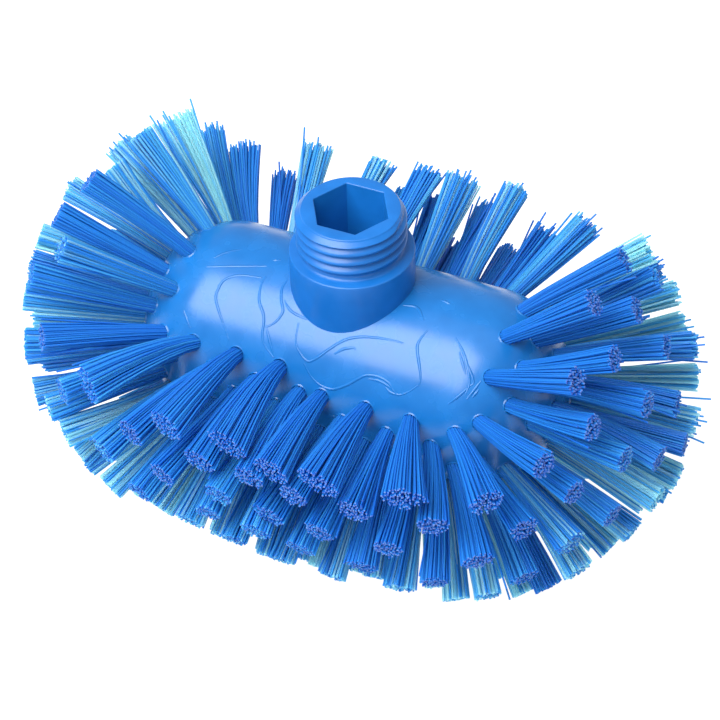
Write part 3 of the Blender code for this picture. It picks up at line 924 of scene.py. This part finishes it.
# %% Multiply each tuft's point into its filaments
copies = add_node(
    tree,
    "GeometryNodeDuplicateElements",
    {"Geometry": size["Geometry"], "Amount": size["Filaments"]},
    domain="POINT",
)
number = copies.outputs["Duplicate Index"]
half_on = add_node(tree, "ShaderNodeMath", {0: number, 1: 0.5}, operation="ADD")
share = add_node(tree, "ShaderNodeMath", {0: half_on, 1: size["Filaments"]}, operation="DIVIDE")
seed_out = add_node(tree, "ShaderNodeMath", {0: share, 1: 0.5}, operation="POWER")
seed_turn = add_node(tree, "ShaderNodeMath", {0: number, 1: GOLDEN_ANGLE}, operation="MULTIPLY")
seed_parts = []
for way in ("COSINE", "SINE"):
    wave = add_node(tree, "ShaderNodeMath", {0: seed_turn}, operation=way)
    seed_parts.append(add_node(tree, "ShaderNodeMath", {0: wave, 1: seed_out}, operation="MULTIPLY"))
seat = add_node(tree, "ShaderNodeCombineXYZ", {"X": seed_parts[0], "Y": seed_parts[1]})
tint = add_node(
    tree,
    "FunctionNodeRandomValue",
    {"Min": 0.0, "Max": 1.0, "Seed": size["Seed"]},
    data_type="FLOAT",
)
other_seed = add_node(tree, "ShaderNodeMath", {0: size["Seed"], 1: 1.0}, operation="ADD")
scatter = add_node(
    tree,
    "FunctionNodeRandomValue",
    {"Min": (-1, -1, -1), "Max": (1, 1, 1), "Seed": other_seed},
    data_type="FLOAT_VECTOR",
)
scattered = copies.outputs["Geometry"]
for label, kind, value in (
    ("seat", "FLOAT_VECTOR", seat), ("tint", "FLOAT", tint), ("scatter", "FLOAT_VECTOR", scatter)
):
    scattered = add_node(
        tree,
        "GeometryNodeStoreNamedAttribute",
        {"Geometry": scattered, "Name": label, "Value": value},
        data_type=kind,
        domain="POINT",
    )
print("each tuft becomes", FILAMENTS, "filaments")

# %% Stand a line on each and bend it
line = add_node(tree, "GeometryNodeCurvePrimitiveLine", {"Start": (0, 0, 0), "End": (0, 0, 1)})
fine_line = add_node(tree, "GeometryNodeResampleCurve", {"Curve": line, "Count": size["Line Points"]})
stood = add_node(tree, "GeometryNodeInstanceOnPoints", {"Points": scattered, "Instance": fine_line})
lines = add_node(tree, "GeometryNodeRealizeInstances", {"Geometry": stood})
t = add_node(tree, "GeometryNodeSplineParameter").outputs["Factor"]
read = {}
for label in ("foot", "elbow", "tip", "wide", "high", "seat", "scatter"):
    read[label] = add_node(tree, "GeometryNodeInputNamedAttribute", {"Name": label}, data_type="FLOAT_VECTOR")
for label in ("flare", "flare_high", "ragged", "tint"):
    read[label] = add_node(tree, "GeometryNodeInputNamedAttribute", {"Name": label}, data_type="FLOAT")
scatter_parts = add_node(tree, "ShaderNodeSeparateXYZ", {"Vector": read["scatter"]})
seat_parts = add_node(tree, "ShaderNodeSeparateXYZ", {"Vector": read["seat"]})
ragged = read["ragged"]
raggedness = add_node(tree, "ShaderNodeMath", {0: ragged, 1: BACK_RAGGED, 2: 1.0}, operation="MULTIPLY_ADD")
uneven = add_node(tree, "ShaderNodeMath", {0: raggedness, 1: size["End Scatter"]}, operation="MULTIPLY")
is_stray = add_node(tree, "ShaderNodeMath", {0: read["tint"], 1: size["Stray Share"]}, operation="LESS_THAN")
stray_more = add_node(tree, "ShaderNodeMath", {0: is_stray, 1: ragged}, operation="MULTIPLY")
longest = add_node(
    tree,
    "ShaderNodeMath",
    {0: stray_more, 1: size["Stray Length"], 2: 1.0},
    operation="MULTIPLY_ADD",
)
end_share = add_node(
    tree,
    "ShaderNodeMath",
    {0: scatter_parts.outputs["Z"], 1: uneven, 2: longest},
    operation="MULTIPLY_ADD",
)
last_way = add_node(tree, "ShaderNodeVectorMath", {0: read["tip"], 1: read["elbow"]}, operation="SUBTRACT")
last_leg = add_node(tree, "ShaderNodeVectorMath", {0: last_way, "Scale": end_share}, operation="SCALE")
tip_spot = add_node(tree, "ShaderNodeVectorMath", {0: read["elbow"], 1: last_leg}, operation="ADD")
legs = []
for start, end in ((read["foot"], read["elbow"]), (read["elbow"], tip_spot)):
    leg = add_node(tree, "ShaderNodeMix", {"Factor": t, "A": start, "B": end}, data_type="VECTOR")
    legs.append(leg.outputs[1])
middle = add_node(tree, "ShaderNodeMix", {"Factor": t, "A": legs[0], "B": legs[1]}, data_type="VECTOR")
splay = add_node(tree, "ShaderNodeMath", {0: t, 1: SPLAY_POWER}, operation="POWER")
wide_by = add_node(tree, "ShaderNodeMix", {"Factor": splay, "A": size["Bundle Radius"], "B": read["flare"]})
high_by = add_node(
    tree,
    "ShaderNodeMix",
    {"Factor": splay, "A": size["Bundle Radius"], "B": read["flare_high"]},
)
right_by = add_node(tree, "ShaderNodeMath", {0: seat_parts.outputs["X"], 1: wide_by}, operation="MULTIPLY")
up_by = add_node(tree, "ShaderNodeMath", {0: seat_parts.outputs["Y"], 1: high_by}, operation="MULTIPLY")
bend = add_node(tree, "ShaderNodeMath", {0: t, 1: 2.0}, operation="POWER")
strayed = add_node(tree, "ShaderNodeMath", {0: is_stray, 1: size["Stray Reach"]}, operation="MULTIPLY")
reach = add_node(tree, "ShaderNodeMath", {0: strayed, 1: size["Tip Jitter"]}, operation="ADD")
more_ragged = add_node(tree, "ShaderNodeMath", {0: ragged, 1: 1.0}, operation="ADD")
frayed = add_node(tree, "ShaderNodeMath", {0: reach, 1: more_ragged}, operation="MULTIPLY")
jitter = add_node(tree, "ShaderNodeMath", {0: bend, 1: frayed}, operation="MULTIPLY")
right_jitter = add_node(
    tree,
    "ShaderNodeMath",
    {0: scatter_parts.outputs["X"], 1: jitter, 2: right_by},
    operation="MULTIPLY_ADD",
)
up_jitter = add_node(
    tree,
    "ShaderNodeMath",
    {0: scatter_parts.outputs["Y"], 1: jitter, 2: up_by},
    operation="MULTIPLY_ADD",
)
to_right = add_node(tree, "ShaderNodeVectorMath", {0: read["wide"], "Scale": right_jitter}, operation="SCALE")
to_up = add_node(tree, "ShaderNodeVectorMath", {0: read["high"], "Scale": up_jitter}, operation="SCALE")
beside = add_node(tree, "ShaderNodeVectorMath", {0: to_right, 1: to_up}, operation="ADD")
course = add_node(tree, "ShaderNodeVectorMath", {0: middle.outputs[1], 1: beside}, operation="ADD")
resting = add_node(tree, "ShaderNodeCombineXYZ", {"X": -1.0, "Y": -1.0, "Z": size["Filament Radius"]})
above = add_node(tree, "ShaderNodeVectorMath", {0: course, 1: resting}, operation="MAXIMUM")
bent = add_node(tree, "GeometryNodeSetPosition", {"Geometry": lines, "Position": above})
marked = add_node(
    tree,
    "GeometryNodeStoreNamedAttribute",
    {"Geometry": bent, "Name": "way_out", "Value": t},
    data_type="FLOAT",
    domain="POINT",
)
print("bending brings the tree to", len(tree.nodes), "nodes")

# %% Skin the lines
ring = add_node(
    tree,
    "GeometryNodeCurvePrimitiveCircle",
    {"Resolution": FILAMENT_SIDES, "Radius": size["Filament Radius"]},
)
skin = add_node(
    tree,
    "GeometryNodeCurveToMesh",
    {"Curve": marked, "Profile Curve": ring, "Scale": 1.0, "Fill Caps": True},
)
corners = add_node(tree, "GeometryNodeInputMeshFaceNeighbors").outputs["Vertex Count"]
is_end = add_node(tree, "ShaderNodeMath", {0: corners, 1: FILAMENT_SIDES - 0.5}, operation="GREATER_THAN")
is_side = add_node(tree, "ShaderNodeMath", {0: corners, 1: FILAMENT_SIDES - 0.5}, operation="LESS_THAN")
ended = add_node(
    tree,
    "GeometryNodeStoreNamedAttribute",
    {"Geometry": skin, "Name": "cut_end", "Value": is_end},
    data_type="FLOAT",
    domain="FACE",
)
smooth = add_node(tree, "GeometryNodeSetShadeSmooth", {"Geometry": ended, "Shade Smooth": is_side})
whole = add_node(tree, "GeometryNodeRealizeInstances", {"Geometry": smooth})
finished = add_node(tree, "GeometryNodeSetMaterial", {"Geometry": whole, "Material": size["Finish"]})
tree.links.new(finished.outputs["Geometry"], made["Geometry"])
tuft_tree = tree
print("the finished tree has", len(tree.nodes), "nodes")

# %% [markdown]
# ## Where the photograph shows the tufts' ends
# Use has bent every tuft its own way, and no rule knows how. For the tufts whose ends can be seen,
# four numbers were read from the photograph: the pixel where the middle of the end lies, across
# and down, half the width of the splay in millimetres, and the tuft's painted backlight, from 0,
# deep blue, to 1, pale turquoise where light comes through it from behind. The pixel gives a ray,
# not a place. The end is put where the ray passes nearest to the end that the plan gives, so it
# stays about as far out as it should be.

# %% The ends that are seen
# The fourth number of each end is the tuft's painted backlight.
seen_ends = {
    "column_01": {
        0: (62, 391, 4.0, 0.3), 1: (64, 432, 4.4, 0.75), 8: (244, 148, 5.3, 0.25),
    },
    "column_02": {
        0: (87.5, 385.5, 6.0, 0.25), 1: (102, 450, 4.6, 0.35), 2: (110, 487, 4.6, 0.7),
        8: (285.5, 177, 3.8, 0.05),
    },
    "column_03": {
        0: (130, 433, 4.6, 0.1), 1: (139, 492, 4.2, 0.2), 2: (160, 508, 4.6, 0.65),
        8: (317.4, 148.2, 4.5, 0.6),
    },
    "column_04": {
        0: (165, 426, 5.6, 0.15), 1: (161.7, 474.7, 4.0, 0.1), 2: (189, 521, 4.6, 0.5),
    },
    "column_05": {
        0: (198.8, 461.3, 5.0, 0.1), 8: (382, 165, 4.0, 0.55),
    },
    "column_06": {
        0: (226.7, 444.8, 6.4, 0.05), 1: (218.4, 495.3, 4.2, 0.3),
    },
    "column_07": {
        0: (248.3, 477.8, 4.6, 0.1), 1: (255, 532, 4.6, 0.35), 8: (429.9, 173, 4.2, 0.35),
    },
    "column_08": {
        0: (270.6, 471, 5.6, 0.05), 1: (269, 516, 4.6, 0.2), 8: (439, 201, 3.8, 0.15),
    },
    "column_09": {
        0: (292.7, 496.4, 4.5, 0.1), 1: (299.9, 549, 4.5, 0.25), 7: (458.6, 248, 4.0, 0.1),
        8: (463.3, 181, 5.5, 0.6),
    },
    "column_10": {
        0: (317.4, 483, 6.8, 0.05), 1: (318.5, 532.5, 4.5, 0.15), 8: (488.9, 208, 3.9, 0.15),
    },
    "column_11": {
        0: (353.5, 511.5, 4.6, 0.05), 1: (362, 567, 4.5, 0.15), 2: (378, 578, 4.4, 0.6),
        7: (511, 253, 4.0, 0.1), 8: (516, 190, 4.1, 0.5),
    },
    "column_12": {
        0: (403, 498.4, 6.0, 0.05), 1: (387.3, 549, 4.2, 0.1), 2: (398, 588, 4.6, 0.6),
        8: (546, 234, 4.2, 0.2),
    },
    "column_13": {
        0: (432.3, 526.5, 4.4, 0.1), 1: (434.5, 582.8, 4.2, 0.15), 2: (456, 599, 4.2, 0.85),
        8: (586, 224, 5.0, 0.4),
    },
    "column_14": {
        0: (486.3, 502.9, 5.0, 0.1), 1: (478.4, 561.4, 4.8, 0.1), 2: (488.5, 596, 4.2, 0.7),
    },
    "ring_left_1": {
        0: (42, 337, 3.9, 0.05), 1: (49, 409, 4.0, 0.55), 2: (82, 457, 4.4, 0.6),
        8: (210.6, 132, 4.0, 0.45), 9: (176, 119, 6.0, 1.0), 10: (141, 134, 4.9, 0.5),
        11: (89, 180, 4.0, 0.15), 12: (61, 248, 3.9, 0.45),
    },
    "ring_left_2": {
        0: (25.5, 341, 4.0, 0.4), 1: (36, 392, 4.0, 0.5), 9: (119, 146, 4.2, 0.7),
        10: (114, 166, 3.9, 0.6), 11: (58, 214, 4.0, 0.1), 12: (31, 276, 4.2, 0.25),
    },
    "ring_right_1": {
        0: (543.6, 465.8, 4.0, 0.1), 1: (524, 529.5, 4.0, 0.1), 2: (524.5, 578, 4.2, 0.2),
        3: (549, 587, 4.0, 0.2), 9: (648, 249, 4.4, 1.1), 10: (624, 259, 3.8, 0.1),
        11: (594, 303, 3.8, 0.05), 12: (576, 381, 4.0, 0.05),
    },
    "ring_right_2": {
        0: (574.5, 493, 3.8, 0.15), 1: (571.8, 543.4, 4.4, 0.45), 2: (578.5, 571.5, 4.4, 0.65),
        3: (611, 547, 4.2, 0.75), 7: (682, 325, 4.0, 1.05), 8: (676, 293, 4.0, 1.0),
        9: (657, 279, 3.8, 0.3), 10: (637, 310, 3.8, 0.1), 11: (615, 359, 3.7, 0.1),
        12: (593, 427.5, 3.8, 0.1),
    },
    "cap_left": {
        0: (25, 296, 4.4, 0.5), 7: (70, 188, 4.0, 0.65), 8: (40, 236, 4.0, 0.7),
        10: (36, 315, 4.0, 0.85),
    },
    "cap_right": {
        0: (625, 459, 3.9, 0.3), 1: (612.7, 515.7, 3.7, 0.2), 2: (633, 531, 4.0, 0.6),
        5: (694, 378, 4.0, 0.95), 6: (695, 345, 3.9, 0.4), 7: (666, 346.5, 3.5, 0.15),
        8: (648, 405, 3.9, 0.15), 9: (659, 459, 3.7, 0.2), 10: (657, 500, 4.2, 0.85),
        11: (678, 477, 4.1, 0.85), 12: (694, 422, 4.2, 0.85), 13: (677, 404, 3.7, 0.2),
    },
}


def seen_end(planned, across, down):
    """The point of a pixel's ray that is nearest to a tuft's planned end."""
    ray = pixel_ray(across, down)
    return EYE + ray * (planned - EYE).dot(ray)


print(sum(len(ends) for ends in seen_ends.values()), "ends are seen")

# %% [markdown]
# Each group of tufts becomes one piece and takes the place of one node. A tuft's point carries
# where its foot, its elbow and its tip lie, the two directions across it, and how far it splays.
# A seeded random number varies the splay and the tip of the others a little, as no two tufts
# stand alike. The ones at the back, which light comes through, are a little more ragged.

# %% Grow the tufts
FOOT_DEPTH = 2.0 * MM
ELBOW_SHARE = 0.32
FLARE_MIN = 3.8 * MM
FLARE_MAX = 4.8 * MM
FLARE_HIGH_SHARE = 0.74
FLARE_HIGH_MOST = 3.1 * MM
# Painted backlight for unseen tufts: more the lower a tuft sits, plus a random share.
BACKLIGHT_PAINT_LOW = 0.6
BACKLIGHT_PAINT_SPREAD = 0.4
TIP_WANDER = 1.2 * MM
TUFT_FACTS = ("foot", "elbow", "tip", "wide", "high", "flare", "flare_high", "clear", "ragged")
SEEDS = 1000
chance = random.Random(41)
furthest = 0

for group, places in tuft_plan.items():
    roots = [on_block(*place) for place in places]
    facts = {label: [] for label in TUFT_FACTS}
    for number, (place, root) in enumerate(zip(places, roots)):
        leave = set_way(*place)
        lean = pressed_way(*place)
        wander = Vector([chance.uniform(-1, 1) for axis in range(3)]) * TIP_WANDER
        wide = Vector((0, math.cos(place[1]), math.sin(place[1]))).cross(lean).normalized()
        facts["foot"].append(root - leave * FOOT_DEPTH)
        facts["elbow"].append(root + leave * TUFT_LENGTH * ELBOW_SHARE)
        tip = root + lean * TUFT_LENGTH + wander
        flare = chance.uniform(FLARE_MIN, FLARE_MAX)
        low = max(0, AXIS_HEIGHT - root.z) / BELLY_DROP
        # Painted backlight: paler turquoise for tufts low on the block, plus a random share.
        clear = chance.uniform(0, BACKLIGHT_PAINT_SPREAD) + BACKLIGHT_PAINT_LOW * low
        facts["ragged"].append(max(0, -math.cos(place[1])))
        # A seen end brings its own painted backlight.
        if number in seen_ends.get(group, {}):
            across, down, half_width, clear = seen_ends[group][number]
            planned = root + lean * TUFT_LENGTH
            tip = seen_end(planned, across, down)
            furthest = max(furthest, (tip - planned).length)
            lean = (tip - root).normalized()
            wide = pixel_ray(across, down).cross(lean).normalized()
            flare = half_width * MM
        facts["tip"].append(tip)
        facts["wide"].append(wide)
        facts["high"].append(lean.cross(wide).normalized())
        facts["clear"].append(clear)
        facts["flare"].append(flare)
        facts["flare_high"].append(min(flare * FLARE_HIGH_SHARE, FLARE_HIGH_MOST))
    start = points_mesh(f"feet_{group}", roots, facts)
    tufts = grown(f"tufts_{group}", start, tuft_tree, {**tuft_sizes, "Seed": chance.randrange(SEEDS)})
    ready(tufts, "bristle", f"bristle_{group}")
print("the furthest that use has bent an end from its plan:", round(furthest / MM, 1), "mm")

# %% [markdown]
# ## Floor and light
# The photograph has a white ground and soft daylight-like light. What the block reflects tells
# where the light is: a wide pale band high on its front, with a sharp left edge, a soft lower
# edge, and a dim continuation over the top. That is one large soft box to the left of the camera,
# and a fainter one overhead. The floor glows a little, as a white table lit from all sides does.

# %% Floor, lights and world
FLOOR_HALF = 6.0
FLOOR_GREY = "#8C8C8C"
WHITE = "#FFFFFF"
FLOOR_GLOW = 0.97
FLOOR_ROUGHNESS = 0.9
SOFT_BOX_DISTANCE = 1.1
SOFT_BOX_TURN = math.radians(-25)
SOFT_BOX_HEIGHT = math.radians(57)
SOFT_BOX_WIDE = 0.90
SOFT_BOX_HIGH = 0.95
SOFT_BOX_WATTS = 23.8
TOP_LIGHT_DISTANCE = 1.3
TOP_LIGHT_HEIGHT = math.radians(88)
TOP_LIGHT_WIDE = 1.4
TOP_LIGHT_HIGH = 1.2
TOP_LIGHT_WATTS = 5.0
WORLD_STRENGTH = 0.45

floor_mesh = bpy.data.meshes.new("floor")
floor_corners = [(x * FLOOR_HALF, y * FLOOR_HALF, 0) for x, y in ((-1, -1), (1, -1), (1, 1), (-1, 1))]
floor_mesh.from_pydata(floor_corners, [], [(0, 1, 2, 3)])
floor = bpy.data.objects.new("floor", floor_mesh)
bpy.context.scene.collection.objects.link(floor)
floor_paint, tree, shader = new_material("floor_paint")
shader.inputs["Base Color"].default_value = hex_colour(FLOOR_GREY)
shader.inputs["Roughness"].default_value = FLOOR_ROUGHNESS
shader.inputs["Emission Color"].default_value = hex_colour(WHITE)
shader.inputs["Emission Strength"].default_value = FLOOR_GLOW
floor_mesh.materials.append(floor_paint)


def aim_light(name, watts, turn, height, distance, wide, high):
    """A rectangular light that looks at the brush from a turn and a height."""
    data = bpy.data.lights.new(name, "AREA")
    data.shape = "RECTANGLE"
    data.size = wide
    data.size_y = high
    data.energy = watts
    lamp = bpy.data.objects.new(name, data)
    back = Vector((math.sin(turn) * math.cos(height), -math.cos(turn) * math.cos(height), math.sin(height)))
    side = Vector((math.cos(turn), math.sin(turn), 0))
    facing = Matrix((side, back.cross(side), back)).transposed().to_4x4()
    lamp.matrix_world = Matrix.Translation(Vector((0, 0, AXIS_HEIGHT)) + back * distance) @ facing
    bpy.context.scene.collection.objects.link(lamp)


soft_box = (SOFT_BOX_TURN, SOFT_BOX_HEIGHT, SOFT_BOX_DISTANCE, SOFT_BOX_WIDE, SOFT_BOX_HIGH)
top_light = (0.0, TOP_LIGHT_HEIGHT, TOP_LIGHT_DISTANCE, TOP_LIGHT_WIDE, TOP_LIGHT_HIGH)
aim_light("soft_box", SOFT_BOX_WATTS, *soft_box)
aim_light("top_light", TOP_LIGHT_WATTS, *top_light)

world = bpy.data.worlds.new("pale_room")
world.use_nodes = True
background = world.node_tree.nodes["Background"]
background.inputs["Color"].default_value = hex_colour(WHITE)
background.inputs["Strength"].default_value = WORLD_STRENGTH
bpy.context.scene.world = world
bpy.context.scene.view_settings.view_transform = "Standard"
print("soft box", SOFT_BOX_WATTS, "W, top light", TOP_LIGHT_WATTS, "W")
